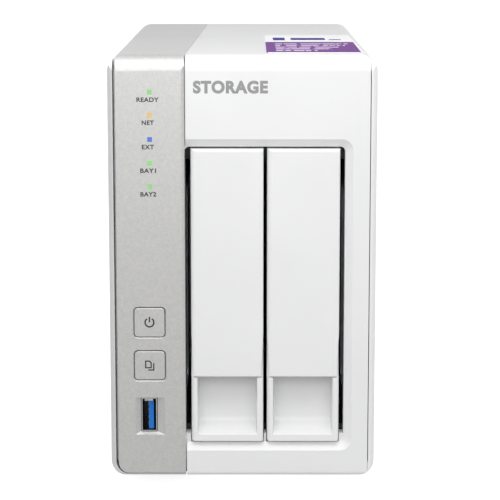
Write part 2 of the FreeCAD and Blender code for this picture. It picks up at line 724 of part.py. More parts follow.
def cage_cover():
    """Steel lid of the cage, with a short flange down each side."""
    flat = box(CAGE_LEFT - SHEET, CAGE_RIGHT + SHEET, CAGE_FRONT, CAGE_BACK, CAGE_HIGH - SHEET, CAGE_HIGH)
    left = box(CAGE_LEFT - SHEET, CAGE_LEFT, CAGE_FRONT, CAGE_BACK, CAGE_HIGH - 9, CAGE_HIGH - SHEET)
    right = box(CAGE_RIGHT, CAGE_RIGHT + SHEET, CAGE_FRONT, CAGE_BACK, CAGE_HIGH - 9, CAGE_HIGH - SHEET)
    return join([flat, left, right])


def guide_ribs(z0, z1):
    """Ribs beside and between the trays. The middle one runs in the gap between them."""
    left = CAGE_LEFT + SHEET
    right = CAGE_RIGHT - SHEET
    gap = 0.35
    inner_gap = (TRAY_CENTRES[0] + TRAY_HALF + gap, TRAY_CENTRES[1] - TRAY_HALF - gap)
    spans = [(left, TRAY_CENTRES[0] - TRAY_HALF - gap), inner_gap,
             (TRAY_CENTRES[1] + TRAY_HALF + gap, right)]
    return [box(x0, x1, CAGE_FRONT, CAGE_BACK - 2, z0, z1) for x0, x1 in spans]


def lower_guides():
    base = CAGE_LOW + SHEET
    floor = box(CAGE_LEFT + SHEET, CAGE_RIGHT - SHEET, CAGE_FRONT, CAGE_BACK - 2, base, RAIL_LOW - 0.35)
    return join([floor] + guide_ribs(base, RAIL_LOW + 4.4))


def upper_guides():
    top = CAGE_HIGH - SHEET
    roof = box(CAGE_LEFT + SHEET, CAGE_RIGHT - SHEET, CAGE_FRONT, CAGE_BACK - 2, RAIL_HIGH + 0.35, top)
    return join([roof] + guide_ribs(RAIL_HIGH - 4.4, top))


def backplane():
    """Board across the back of the cage that links the drives to the main board."""
    board = box(CAGE_LEFT, CAGE_RIGHT, BACKPLANE_Y, BACKPLANE_Y + BOARD_THICK, 22, 146)
    edge = box(BACKPLANE_LEFT, CAGE_LEFT + 1, BACKPLANE_Y, BACKPLANE_Y + BOARD_THICK, 114, 146)
    windows = [prism("y", BACKPLANE_Y - 1, BACKPLANE_Y + 3, rect(x - 8, x + 8, 84, 108, 2.0))
               for x in TRAY_CENTRES]
    return join([board, edge]).cut(windows)


def drive_sockets():
    """Two sockets on the backplane, each with a tongue that enters the drive's connector."""
    sockets = []
    for cx in TRAY_CENTRES:
        body = box(cx + 2.5, cx + 10.5, CARRIER_BACK + 0.5, BACKPLANE_Y, 32, 78)
        tongue = box(cx + 6.0, cx + 7.4, DRIVE_BACK - 4.5, CARRIER_BACK + 1, 36, 74)
        sockets.append(join([body, tongue]))
    return sockets


# ---- Rear panel and fan ----

def fan_grille():
    """Ring slots, crossed by spokes, that the rear panel has behind the fan."""
    rings = []
    for number in range(GRILLE_RINGS):
        outer = GRILLE_R - number * GRILLE_PITCH
        ring = rod("y", FAN_X, FAN_Z, outer, PANEL_FRONT - 1, PANEL_BACK + 1)
        rings.append(ring.cut(rod("y", FAN_X, FAN_Z, outer - GRILLE_SLOT, PANEL_FRONT - 2, PANEL_BACK + 2)))
    spokes = []
    for number in range(4):
        spoke = box(FAN_X - FAN_SIZE, FAN_X + FAN_SIZE, PANEL_FRONT - 2, PANEL_BACK + 2,
                    FAN_Z - SPOKE_WIDE / 2, FAN_Z + SPOKE_WIDE / 2)
        spoke.rotate(FreeCAD.Vector(FAN_X, 0, FAN_Z), AXES["y"], 22.5 + number * 45)
        spokes.append(spoke)
    return [ring.cut(spokes) for ring in rings]


def fan_corners():
    """The four places of the fan's screws."""
    return [(FAN_X + sx * FAN_SCREW, FAN_Z + sz * FAN_SCREW) for sx in (-1, 1) for sz in (-1, 1)]


def rear_panel():
    """Steel back plate with the grille, ports, lock slot, reset pinhole and lower vents."""
    side = HALF - WALL - 0.2
    panel = prism("y", PANEL_FRONT, PANEL_BACK,
                  rect(-side, side, FLOOR + 0.2, CEILING - 0.2, EDGE_R - WALL - 0.2))
    start = PANEL_FRONT - 1
    end = PANEL_BACK + 1
    cuts = fan_grille()
    cuts.extend(rod("y", x, z, HOLE_R, start, end) for x, z in fan_corners() + CASE_SCREWS)
    for z in LAN_ZS:
        cuts.append(box(MAIN_FACE - 0.2, MAIN_FACE + LAN_WIDE + 0.2, start, end,
                        z - LAN_TALL / 2 - 0.2, z + LAN_TALL / 2 + 0.2))
    for z in REAR_PORT_ZS:
        cuts.append(port_hole(REAR_PORT_X, z, 0.2, start, end))
    cuts.append(box(MAIN_FACE - 0.2, MAIN_FACE + 11.2, start, end, JACK_Z - 5, JACK_Z + 5))
    cuts.append(rod("y", RESET_X, RESET_Z, 1.0, start, end))
    cuts.append(prism("y", start, end, rect(LOCK_X - 3.5, LOCK_X + 3.5, LOCK_Z - 1.5, LOCK_Z + 1.5, 1.0)))
    for x in VENT_COLUMNS:
        for row in range(VENT_ROWS):
            z = VENT_LOW + row * VENT_PITCH
            slot = rect(x, x + VENT_LONG, z, z + VENT_SLOT, VENT_SLOT / 2 - 0.01)
            cuts.append(prism("y", start, end, slot))
    return panel.cut(cuts)


def fan_frame():
    """Square frame with a round duct, and a motor seat held by four struts at the back."""
    half = FAN_SIZE / 2
    frame = prism("y", FAN_FRONT, FAN_BACK,
                  rect(FAN_X - half, FAN_X + half, FAN_Z - half, FAN_Z + half, 3.0))
    frame = frame.cut(rod("y", FAN_X, FAN_Z, FAN_BORE_R, FAN_FRONT - 1, FAN_BACK + 1))
    seat = rod("y", FAN_X, FAN_Z, HUB_R, FAN_BACK - 2.5, FAN_BACK)
    struts = []
    for number in range(4):
        strut = box(FAN_X, FAN_X + FAN_BORE_R + 0.8, FAN_BACK - 2.5, FAN_BACK, FAN_Z - 1.5, FAN_Z + 1.5)
        strut.rotate(FreeCAD.Vector(FAN_X, 0, FAN_Z), AXES["y"], 45 + number * 90)
        struts.append(strut)
    frame = join([frame, seat] + struts)
    holes = [rod("y", x, z, 2.1, FAN_FRONT - 1, FAN_BACK + 1) for x, z in fan_corners()]
    return frame.cut(holes + [rod("y", FAN_X, FAN_Z, SCREW_R + PIN_FIT, FAN_BACK - 3, FAN_BACK - 0.5)])


def fan_rotor():
    """Hub with pitched blades and a short shaft that turns in the motor seat."""
    hub_front = FAN_FRONT + 0.8
    hub_back = FAN_BACK - 3.2
    hub = rod("y", FAN_X, FAN_Z, HUB_R, hub_front, hub_back)
    rim = [edge for edge in hub.Edges if edge.BoundBox.YMax < hub_front + 0.1]
    hub = hub.makeFillet(1.2, rim)
    shaft = rod("y", FAN_X, FAN_Z, SCREW_R, hub_back - 1, FAN_BACK - 0.8)
    duct = rod("y", FAN_X, FAN_Z, BLADE_R, hub_front, hub_back)
    blades = []
    for number in range(BLADE_COUNT):
        blade = Part.makeBox(1.4, 13.5, BLADE_R, FreeCAD.Vector(-0.7, -6.75, HUB_R - 2))
        blade.rotate(FreeCAD.Vector(0, 0, 0), AXES["z"], 52)
        blade.translate(FreeCAD.Vector(FAN_X, (hub_front + hub_back) / 2, FAN_Z))
        blade.rotate(FreeCAD.Vector(FAN_X, 0, FAN_Z), AXES["y"], number * 360.0 / BLADE_COUNT)
        blades.append(blade.common(duct))
    return hub.multiFuse([shaft] + blades)


def rear_screw(x, z, length):
    """Cross-head screw that comes in from the back of the panel."""
    head = rod("y", x, z, HEAD_R, PANEL_BACK, PANEL_BACK + HEAD_HIGH - 0.4)
    shank = rod("y", x, z, SCREW_R, PANEL_BACK - length, PANEL_BACK)
    slots = [box(x - 1.4, x + 1.4, PANEL_BACK + 0.8, PANEL_BACK + 3, z - 0.3, z + 0.3),
             box(x - 0.3, x + 0.3, PANEL_BACK + 0.8, PANEL_BACK + 3, z - 1.4, z + 1.4)]
    return join([head, shank]).cut(slots)


def fan_lead():
    """Fan cable, from the fan's frame down to its plug on the main board."""
    lead_z = (REAR_PORT_ZS[0] + REAR_PORT_ZS[1]) / 2
    start = FreeCAD.Vector(FAN_X - FAN_SIZE / 2, FAN_FRONT + 5, lead_z)
    bend = FreeCAD.Vector(start.x - 6.0, start.y, lead_z)
    end = FreeCAD.Vector(MAIN_FACE + 6.0, start.y - 13.0, lead_z)
    first = FreeCAD.Vector(bend.x + 2.2, start.y, lead_z)
    along = (end - bend).normalize()
    last = bend + along * 2.2
    half_turn = (first - bend).getAngle(along) / 2
    inward = ((first - bend).normalize() + along).normalize()
    radius = 2.2 * math.tan(half_turn)
    middle = bend + inward * (radius / math.sin(half_turn) - radius)
    path = Part.Wire([Part.LineSegment(start, first).toShape(), Part.Arc(first, middle, last).toShape(),
                      Part.LineSegment(last, end).toShape()])
    ring = Part.Wire([Part.Circle(start, AXES["x"], 1.0).toShape()])
    cable = path.makePipeShell([ring], True, False)
    plug = box(MAIN_FACE, MAIN_FACE + 7, end.y - 5, end.y + 1.0, lead_z - 4, lead_z + 4)
    return join([cable, plug])


# ---- Drive trays ----

def carrier(cx):
    """Tray frame: a side plate with windows, and a rail above and below the drive."""
    left = cx - TRAY_HALF
    right = cx + DRIVE_RIGHT
    plate = box(left, left + SIDE_PLATE, CARRIER_FRONT, CARRIER_BACK, RAIL_LOW, RAIL_HIGH)
    low = box(left, right, CARRIER_FRONT, CARRIER_BACK, RAIL_LOW, RAIL_LOW + RAIL_HEIGHT)
    high = box(left, right, CARRIER_FRONT, CARRIER_BACK, RAIL_HIGH - RAIL_HEIGHT, RAIL_HIGH)
    groove = 2.2
    cuts = [box(cx - 6, cx + 6, CARRIER_FRONT + 6, CARRIER_BACK - 6, RAIL_LOW - 1, RAIL_LOW + groove),
            box(cx - 6, cx + 6, CARRIER_FRONT + 6, CARRIER_BACK - 6, RAIL_HIGH - groove, RAIL_HIGH + 1)]
    for start in [-88.0, -52.0, -16.0, 20.0]:
        cuts.append(prism("x", left - 1, left + 2, rect(start, start + 20, 34, 118, 5.0)))
    cuts.extend(rod("z", cx, y, HOLE_R, 0, FAR) for y in DRIVE_SCREW_YS)
    return join([plate, low, high]).cut(cuts)


def tray_front(cx):
    """Fixed tray front: finger scoop below, vented plate above, and ears for the handle's pin."""
    left = cx - TRAY_HALF
    right = cx + TRAY_HALF
    rim_top = HANDLE_LOW - 0.35
    block = prism("y", FRONT, CARRIER_FRONT, rect(left, right, TRAY_LOW, rim_top + 5, 0.8))
    block = block.common(box(left, right, FRONT, CARRIER_FRONT, 0, rim_top))
    nose = prism("z", 0, FAR, [(left, FRONT, TRAY_LEFT_R), (right, FRONT, TRAY_RIGHT_R),
                               (right, CARRIER_FRONT, 0), (left, CARRIER_FRONT, 0)])
    block = block.common(nose)
    hood = box(left, right, HANDLE_BACK + 0.5, CARRIER_FRONT, rim_top, SCOOP_TOP + 1.5)
    plate = box(left, right, FRONT_PLATE_Y, CARRIER_FRONT, SCOOP_TOP, RAIL_HIGH)
    cheek = [(HANDLE_BACK - 4.6, rim_top, 0), (CARRIER_FRONT, rim_top, 0),
             (CARRIER_FRONT, HANDLE_CUT_Z + 1, 0), (HANDLE_BACK + 0.5, HANDLE_CUT_Z + 1, 0)]
    cheeks = [prism("x", left, left + 1.6, cheek), prism("x", right - 1.6, right, cheek)]
    ears = []
    for side in (-1, 1):
        inner = cx + side * 10.9
        outer = cx + side * 12.1
        x0 = min(inner, outer)
        x1 = max(inner, outer)
        ears.append(rod("x", PIN_Y, PIN_Z, EAR_R, x0, x1))
        ears.append(box(x0, x1, PIN_Y, FRONT_PLATE_Y + 0.5, PIN_Z - EAR_R, PIN_Z + EAR_TOP))
    front = join([block, hood, plate] + cheeks + ears)
    wide = TRAY_HALF - RIM
    side_view = prism("x", cx - TRAY_HALF, cx + TRAY_HALF,
                      [(FRONT - 1, TRAY_LOW + RIM - 0.3, 0), (FRONT + 8.6, TRAY_LOW + 6.1, 2.6),
                       (CARRIER_FRONT - 2.2, SCOOP_TOP, 3.0), (FRONT - 1, SCOOP_TOP, 0)])
    wide_deep = wide - SCOOP_TAPER
    wide_near = wide + 0.07
    plan = prism("z", 0, FAR, [(cx - wide_near, FRONT - 1, 0), (cx + wide_near, FRONT - 1, 0),
                               (cx + wide_deep, CARRIER_FRONT - 1, 0),
                               (cx - wide_deep, CARRIER_FRONT - 1, 0)])
    cuts = [side_view.common(plan), rod("x", PIN_Y, PIN_Z, PIN_R, cx - TRAY_HALF, cx + TRAY_HALF)]
    cuts.append(box(cx - 4, cx + 4, FRONT_PLATE_Y - 1, CARRIER_FRONT + 1, 66, 73))
    for row in range(TRAY_VENTS):
        z = TRAY_VENT_LOW + row * TRAY_VENT_PITCH
        slot = rect(cx - TRAY_VENT_HALF, cx + TRAY_VENT_HALF, z, z + VENT_SLOT, VENT_SLOT / 2 - 0.01)
        cuts.append(prism("y", FRONT_PLATE_Y - 1, CARRIER_FRONT + 1, slot))
    return front.cut(cuts)


def handle(cx):
    """Tall lever that covers the tray's front, open behind, with a snap tooth near its foot."""
    left = cx - TRAY_HALF
    right = cx + TRAY_HALF
    profile = prism("x", left, right, [(FRONT, HANDLE_LOW, 0.5), (HANDLE_BACK - 5.2, HANDLE_LOW, 0),
                                       (HANDLE_BACK, HANDLE_CUT_Z, 0), (HANDLE_BACK, TRAY_HIGH, 0.8),
                                       (FRONT, TRAY_HIGH, 1.2)])
    plan = prism("z", 0, FAR, [(left, FRONT, TRAY_LEFT_R), (right, FRONT, TRAY_RIGHT_R),
                               (right, HANDLE_BACK, 0), (left, HANDLE_BACK, 0)])
    lever = profile.common(plan)
    side = 1.4
    cuts = [box(left + side, right - side, FRONT + HANDLE_SKIN, FAR, 0, TRAY_HIGH - HANDLE_SKIN)]
    for edge_x, way in [(left, 1), (right, -1)]:
        cuts.append(prism("y", FRONT - 1, HANDLE_BACK + 1,
                          [(edge_x - way, HANDLE_CUT_Z + 1, 0), (edge_x, HANDLE_CUT_Z, 0),
                           (edge_x + way * HANDLE_TAPER, HANDLE_LOW, 0),
                           (edge_x + way * HANDLE_TAPER, 40, 0),
                           (edge_x - way, 40, 0)]))
    cuts.append(rod("x", PIN_Y, PIN_Z, PIN_R + PIN_FIT, left - 1, right + 1))
    tooth = box(cx - 3, cx + 3, FRONT + HANDLE_SKIN - 0.2, FRONT_PLATE_Y + 1, 69, 70.6)
    hook = box(cx - 3, cx + 3, FRONT_PLATE_Y + 0.2, FRONT_PLATE_Y + 1, 70.4, 71.4)
    return join([lever.cut(cuts), tooth, hook])


def hinge_pin(cx):
    return rod("x", PIN_Y, PIN_Z, PIN_R, cx - TRAY_HALF + 0.4, cx + TRAY_HALF - 0.4)


def drive_case(cx):
    """Cast body of the drive: hollow under its lid, recessed for its board, slotted for its connector."""
    lid_face = cx + DRIVE_LEFT + 0.8
    case = prism("x", lid_face, cx + DRIVE_RIGHT, rect(DRIVE_FRONT, DRIVE_BACK, DRIVE_LOW, DRIVE_HIGH, 3.0))
    cuts = [prism("x", cx + DRIVE_RIGHT - 1.9, cx + DRIVE_RIGHT + 1,
                  rect(-10, 48, DRIVE_LOW + 6, DRIVE_HIGH - 6, 2.0)),
            prism("x", lid_face - 1, lid_face + 13,
                  rect(DRIVE_FRONT + 5, 44, DRIVE_LOW + 5, DRIVE_HIGH - 5, 8.0)),
            box(cx + 4.8, cx + 8.6, DRIVE_BACK - 8, DRIVE_BACK + 1, 33, 77)]
    cuts.extend(rod("z", cx, y, HOLE_R, 0, DRIVE_LOW + 4.5) for y in DRIVE_SCREW_YS)
    cuts.extend(rod("z", cx, y, HOLE_R, DRIVE_HIGH - 4.5, FAR) for y in DRIVE_SCREW_YS)
    return case.cut(cuts)


def drive_lid(cx):
    """Pressed cover of the drive, with a round dish over the spindle and screws at its edge."""
    outer = cx + DRIVE_LEFT
    inner = outer + 0.8
    lid = prism("x", outer, inner,
                rect(DRIVE_FRONT + 1, DRIVE_BACK - 1, DRIVE_LOW + 1, DRIVE_HIGH - 1, 3.0))
    middle_z = (DRIVE_LOW + DRIVE_HIGH) / 2
    cuts = [rod("x", DRIVE_FRONT + 60, middle_z, 42.0, outer - 1, outer + 0.3)]
    for y in [DRIVE_FRONT + 7, (DRIVE_FRONT + DRIVE_BACK) / 2 + 22, DRIVE_BACK - 7]:
        for z in [DRIVE_LOW + 7, DRIVE_HIGH - 7]:
            cuts.append(rod("x", y, z, 2.4, outer - 1, outer + 0.5))
    return lid.cut(cuts)


def drive_board(cx):
    face = cx + DRIVE_RIGHT
    return prism("x", face - 1.85, face - 0.25, rect(-9.7, 47.7, DRIVE_LOW + 6.3, DRIVE_HIGH - 6.3, 2.0))


def drive_screws(cx):
    """Four screws through the rails into the drive."""
    screws = []
    for y in DRIVE_SCREW_YS:
        low = RAIL_LOW + 2.2
        high = RAIL_HIGH - 2.2
        screws.append(join([rod("z", cx, y, HEAD_R, low - HEAD_HIGH, low),
                            rod("z", cx, y, SCREW_R, low, DRIVE_LOW + 4)]))
        screws.append(join([rod("z", cx, y, HEAD_R, high, high + HEAD_HIGH),
                            rod("z", cx, y, SCREW_R, DRIVE_HIGH - 4, high)]))
    return screws


def save_case():
    save("left_shell", left_shell())
    save("right_shell", right_shell())
    save("front_bezel", front_bezel())
    save("control_strip", control_strip())
    save("top_label", top_label())
    save("rubber_feet", rubber_feet())


def save_controls():
    for name, z in BUTTON_ZS.items():
        save(name + "_button", push_button(z))
        save(name + "_plunger", switch_plunger(z))
    save("green_lenses", lens_group([n for n in range(len(LAMP_ZS)) if n not in (AMBER_LAMP, BLUE_LAMP)]))
    save("amber_lens", lens_group([AMBER_LAMP]))
    save("blue_lens", lens_group([BLUE_LAMP]))
    save("front_board", front_board())
    save("front_switches", front_switches())
    save("port_shells", port_shells())
    save("port_tongues", port_tongues())
    save("front_ribbon", front_ribbon())


def save_main_board():
    save("main_board", main_board())
    save("processor", on_board(CHIP_Y, CHIP_Z, CHIP_SIZE, CHIP_SIZE, CHIP_HIGH))
    save("heatsink", heatsink())
    save("memory_chips", memory_chips())
    save("small_chips", small_chips())
    save("lan_jacks", lan_jacks())
    save("power_jack", power_jack())
    save("reset_switch", reset_switch())
    save("reset_button", reset_button())
    save("cell_holder", cell_holder())
    save("coin_cell", coin_cell())
    save("capacitors", capacitors())
    save("link_socket", link_socket())
    save("inner_screws", inner_screws())


def save_cage():
    save("drive_cage", drive_cage())
    save("cage_cover", cage_cover())
    save("lower_guides", lower_guides())
    save("upper_guides", upper_guides())
    save("backplane", backplane())
    save("drive_sockets", drive_sockets())


def save_rear():
    save("rear_panel", rear_panel())
    save("fan_frame", fan_frame())
    save("fan_rotor", fan_rotor())
    save("fan_screws", [rear_screw(x, z, 10.0) for x, z in fan_corners()])
    save("case_screws", [rear_screw(x, z, 7.0) for x, z in CASE_SCREWS])
    save("fan_lead", fan_lead())


def save_trays():
    for number, cx in enumerate(TRAY_CENTRES, 1):
        save("tray_%d_carrier" % number, carrier(cx))
        save("tray_%d_front" % number, tray_front(cx))
        save("tray_%d_handle" % number, handle(cx))
        save("tray_%d_pin" % number, hinge_pin(cx))
        save("drive_%d_case" % number, drive_case(cx))
        save("drive_%d_lid" % number, drive_lid(cx))
        save("drive_%d_board" % number, drive_board(cx))
        save("drive_%d_screws" % number, drive_screws(cx))


def main():
    os.makedirs("parts", exist_ok=True)
    save_case()
    save_controls()
    save_main_board()
    save_cage()
    save_rear()
    save_trays()


main()
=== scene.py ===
"""Looks of an upright network storage box with two drive trays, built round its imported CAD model."""

import json
import math

import bmesh
import bpy
from mathutils import Matrix, Vector


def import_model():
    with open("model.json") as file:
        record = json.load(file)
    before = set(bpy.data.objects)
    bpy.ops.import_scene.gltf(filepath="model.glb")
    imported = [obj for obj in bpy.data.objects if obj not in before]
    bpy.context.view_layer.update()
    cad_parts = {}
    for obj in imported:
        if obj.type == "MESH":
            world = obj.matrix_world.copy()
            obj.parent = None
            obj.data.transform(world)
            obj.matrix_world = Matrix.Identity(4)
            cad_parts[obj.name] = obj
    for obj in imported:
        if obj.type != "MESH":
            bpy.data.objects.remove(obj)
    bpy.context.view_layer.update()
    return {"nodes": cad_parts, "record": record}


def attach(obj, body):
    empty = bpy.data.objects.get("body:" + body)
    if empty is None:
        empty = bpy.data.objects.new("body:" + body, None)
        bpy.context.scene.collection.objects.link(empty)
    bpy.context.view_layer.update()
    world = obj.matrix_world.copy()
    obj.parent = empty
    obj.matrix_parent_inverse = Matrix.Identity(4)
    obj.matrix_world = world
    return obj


MM = 0.001

# Camera
CAMERA_PLACE = (2.85, -850.4, 219.9)
CAMERA_PITCH = 9.62
CAMERA_LENS = 142.0
SENSOR = 36.0

# Light
SKY = [(0.0, 0.59), (0.25, 0.59), (0.5, 0.44), (0.55, 0.44), (0.8, 0.68), (1.0, 0.68)]
LIGHTS = [
    ("high_key", (0.0, -0.36, 0.50), (0, -0.11, 0.09), (0.5, 0.25), 0.96),
    ("front_key", (0.0, -0.60, 0.28), (0, -0.11, 0.09), (0.5, 0.25), 0.77),
    ("overhead", (0.0, -0.30, 0.95), (0, -0.11, 0.09), (0.9, 0.6), 1.18),
    ("left_fill", (-1.1, 0.65, 0.09), (0, 0.0, 0.09), (0.7, 0.17), 7.1),
    ("right_fill", (1.1, 0.65, 0.09), (0, 0.0, 0.09), (0.7, 0.17), 7.1),
]
DULL_LIGHTS = ("left_fill", "right_fill")
STAGE_REACH = 5.0
DOME_RADIUS = 4.6
FLOOR_GLOW = 0.62

# Surfaces that the printing and small parts sit on, in millimetres
FACE_Y = -109.5
BUTTON_Y = -109.45
PROUD = 0.02
# Port shells keep their plain nickel colour only beyond this distance from the middle; nearer the middle,
# painted shade darkens them
PRINT_THICK = 0.03
PORT_SHADE_START_Y = 107.9
JACK_FACE_Y = 108.1
JACK_ZS = [98.0, 78.0]
JACK_WALL_X = -41.8
JACK_LAMP_X = -32.7
REAR_PORT_ZS = [135.0, 118.5]
FRONT_CONTACT_ZS = [33.6, 31.2, 28.4, 26.0]
REAR_CONTACT_STEPS = [3.5, 1.2, -1.2, -3.5]
CONTACT_HALF = 0.45
FRONT_SPRING = (-37.9, -34.6, -108.25, -107.4, 34.9, 35.75, 0.1)
WIRE_COUNT = 8
WIRE_PITCH = 1.02
WIRE_THICK = 0.3
WIRE_ROOT = 2.0
WIRE_TIP = 11.0
WIRE_RISE = 3.4
MOTOR = (8.0, 106.5, 110.0)
MOTOR_LABEL_R = 12.0
DRIVE_LID_X = -12.9
DRIVE_LABEL = (-72.0, -20.0, 36.0, 92.0)
DRIVE_DISH_DEEP = 0.3

LAMP_LABELS = [("READY", 154.5, 8.4), ("NET", 145.8, 4.6), ("EXT", 136.6, 4.6),
               ("BAY1", 127.6, 6.0), ("BAY2", 118.6, 6.0)]
LABEL_X = -35.7
LABEL_DROP = 2.85
LABEL_HEIGHT = 1.75
LABEL_WEIGHT = 0.032
WORD = ("STORAGE", -4.5, 156.4, 28.2, 4.9)
WORD_WEIGHT = 0.05
BUTTON_X = -35.7
POWER_Z = 66.1
COPY_Z = 49.2
TRAY_CENTRES = {"tray_1": -5.9, "tray_2": 23.2}

# Printing of the top sticker, in millimetres
LABEL_SPLIT = -32.8
LABEL_EDGES = (-95.5, 9.0, 45.4)
LABEL_BAR_DEEP = 5.0
LABEL_BARS = [(-48.0, 13.0, 42.5), (-58.0, 13.0, 41.0), (-68.0, 13.0, 38.0),
              (-78.0, 13.0, 35.0), (-88.0, 13.0, 29.0)]
LABEL_TITLE = [(-22.0, -4.0, 12.5, 17.5), (-20.0, -6.0, 20.0, 34.5), (-20.0, -15.0, 36.0, 41.0)]


# ---- Shader helpers ----

def start(name, roughness, metallic=0.0):
    """A new material, with its node tree and its shader."""
    material = bpy.data.materials.new(name)
    material.use_nodes = True
    tree = material.node_tree
    shader = tree.nodes["Principled BSDF"]
    shader.inputs["Roughness"].default_value = roughness
    shader.inputs["Metallic"].default_value = metallic
    return material, tree, shader


def add(tree, kind, **settings):
    node = tree.nodes.new(kind)
    for key, value in settings.items():
        setattr(node, key, value)
    return node


def where(tree, stretch=(1.0, 1.0, 1.0)):
    """The point on the object, in metres, stretched along each axis."""
    place = add(tree, "ShaderNodeTexCoord")
    mapping = add(tree, "ShaderNodeMapping")
    mapping.inputs["Scale"].default_value = stretch
    tree.links.new(place.outputs["Object"], mapping.inputs["Vector"])
    return mapping.outputs["Vector"]


def grain(tree, point, size, detail=2.0, roughness=0.5):
    """Noise whose lumps are about a size in metres."""
    node = add(tree, "ShaderNodeTexNoise")
    node.inputs["Scale"].default_value = 0.5 / size
    node.inputs["Detail"].default_value = detail
    node.inputs["Roughness"].default_value = roughness
    tree.links.new(point, node.inputs["Vector"])
    return node.outputs["Fac"]


def cells(tree, point, size, output="Color", feature="F1", distance="EUCLIDEAN"):
    """Cells about a size in metres across."""
    node = add(tree, "ShaderNodeTexVoronoi", feature=feature, distance=distance)
    node.inputs["Scale"].default_value = 1.0 / size
    tree.links.new(point, node.inputs["Vector"])
    return node.outputs[output]


def ramp(tree, factor, stops):
    """Colours at places along a factor."""
    node = add(tree, "ShaderNodeValToRGB")
    elements = node.color_ramp.elements
    while len(elements) < len(stops):
        elements.new(0.5)
    for element, (at, colour) in zip(elements, stops):
        element.position = at
        element.color = (*colour, 1.0)
    tree.links.new(factor, node.inputs["Fac"])
    return node.outputs["Color"]


def spread(tree, factor, low, high, near=0.3, far=0.7):
    """A number that follows a factor from low to high."""
    node = add(tree, "ShaderNodeMapRange")
    for socket, value in zip(("From Min", "From Max", "To Min", "To Max"), (near, far, low, high)):
        node.inputs[socket].default_value = value
    tree.links.new(factor, node.inputs["Value"])
    return node.outputs["Result"]


def math_node(tree, operation, first, second=0.0):
    """One sum on sockets or numbers."""
    node = add(tree, "ShaderNodeMath", operation=operation)
    for number, value in enumerate([first, second]):
        if isinstance(value, (int, float)):
            node.inputs[number].default_value = value
        else:
            tree.links.new(value, node.inputs[number])
    return node.outputs["Value"]


def blend_colours(tree, factor, first, second, mode="MIX"):
    """Mix of two colours, each a socket or a colour."""
    node = add(tree, "ShaderNodeMix", data_type="RGBA", blend_type=mode)
    if isinstance(factor, (int, float)):
        node.inputs[0].default_value = factor
    else:
        tree.links.new(factor, node.inputs[0])
    for number, value in ((6, first), (7, second)):
        if isinstance(value, tuple):
            node.inputs[number].default_value = (*value, 1.0)
        else:
            tree.links.new(value, node.inputs[number])
    return node.outputs[2]


def bumps(tree, shader, height, depth):
    """Relief of a depth in metres."""
    node = add(tree, "ShaderNodeBump")
    node.inputs["Distance"].default_value = depth
    node.inputs["Strength"].default_value = 1.0
    tree.links.new(height, node.inputs["Height"])
    tree.links.new(node.outputs["Normal"], shader.inputs["Normal"])


def paint(tree, shader, colour):
    tree.links.new(colour, shader.inputs["Base Color"])


def rough(tree, shader, value):
    tree.links.new(value, shader.inputs["Roughness"])


def inside(tree, value, low, high):
    """1 between two numbers, 0 outside."""
    above = math_node(tree, "GREATER_THAN", value, low)
    below = math_node(tree, "LESS_THAN", value, high)
    return math_node(tree, "MULTIPLY", above, below)


def axes(tree, point):
    """X, Y and Z of a point as three numbers."""
    node = add(tree, "ShaderNodeSeparateXYZ")
    tree.links.new(point, node.inputs["Vector"])
    return node.outputs["X"], node.outputs["Y"], node.outputs["Z"]


# ---- Materials of the case ----

def moulded(name, low, high, shine, texture, depth):
    """Satin moulded plastic: a fine spark-eroded texture and slow, faint changes of tone."""
    material, tree, shader = start(name, shine)
    point = where(tree)
    paint(tree, shader, ramp(tree, grain(tree, point, 0.02, 3.0), [(0.35, low), (0.65, high)]))
    fine = grain(tree, point, texture, 3.0, 0.6)
    rough(tree, shader, spread(tree, fine, shine - 0.05, shine + 0.05))
    bumps(tree, shader, fine, depth)
    return material


def white_shell():
    return moulded("white_plastic", (0.835, 0.837, 0.842), (0.86, 0.862, 0.866), 0.36, 0.0003, 0.000006)


def silver_shell():
    """Silver paint with fine flakes under a thin clear coat."""
    material, tree, shader = start("silver_paint", 0.36, 0.3)
    point = where(tree)
    flakes = cells(tree, point, 0.00022)
    shade = add(tree, "ShaderNodeRGBToBW")
    tree.links.new(flakes, shade.inputs["Color"])
    slow = ramp(tree, grain(tree, point, 0.03, 2.0),
                [(0.35, (0.735, 0.737, 0.74)), (0.65, (0.765, 0.767, 0.77))])
    spark = ramp(tree, shade.outputs["Val"], [(0.2, (0.93, 0.93, 0.93)), (0.8, (1.0, 1.0, 1.0))])
    paint(tree, shader, blend_colours(tree, 1.0, slow, spark, "MULTIPLY"))
    rough(tree, shader, spread(tree, grain(tree, point, 0.0004, 2.0), 0.31, 0.41))
    bumps(tree, shader, shade.outputs["Val"], 0.000004)
    return material


def strip_silver():
    """Darker metallic finish of the strip and its buttons, with a visible fine speckle."""
    material, tree, shader = start("strip_metallic", 0.42, 0.62)
    point = where(tree)
    flakes = cells(tree, point, 0.00028)
    shade = add(tree, "ShaderNodeRGBToBW")
    tree.links.new(flakes, shade.inputs["Color"])
    slow = ramp(tree, grain(tree, point, 0.0009, 4.0, 0.7),
                [(0.3, (0.665, 0.661, 0.652)), (0.7, (0.735, 0.731, 0.722))])
    spark = ramp(tree, shade.outputs["Val"], [(0.2, (0.9, 0.9, 0.9)), (0.8, (1.0, 1.0, 1.0))])
    paint(tree, shader, blend_colours(tree, 1.0, slow, spark, "MULTIPLY"))
    rough(tree, shader, spread(tree, grain(tree, point, 0.0005, 2.0), 0.36, 0.48))
    bumps(tree, shader, shade.outputs["Val"], 0.000006)
    return material


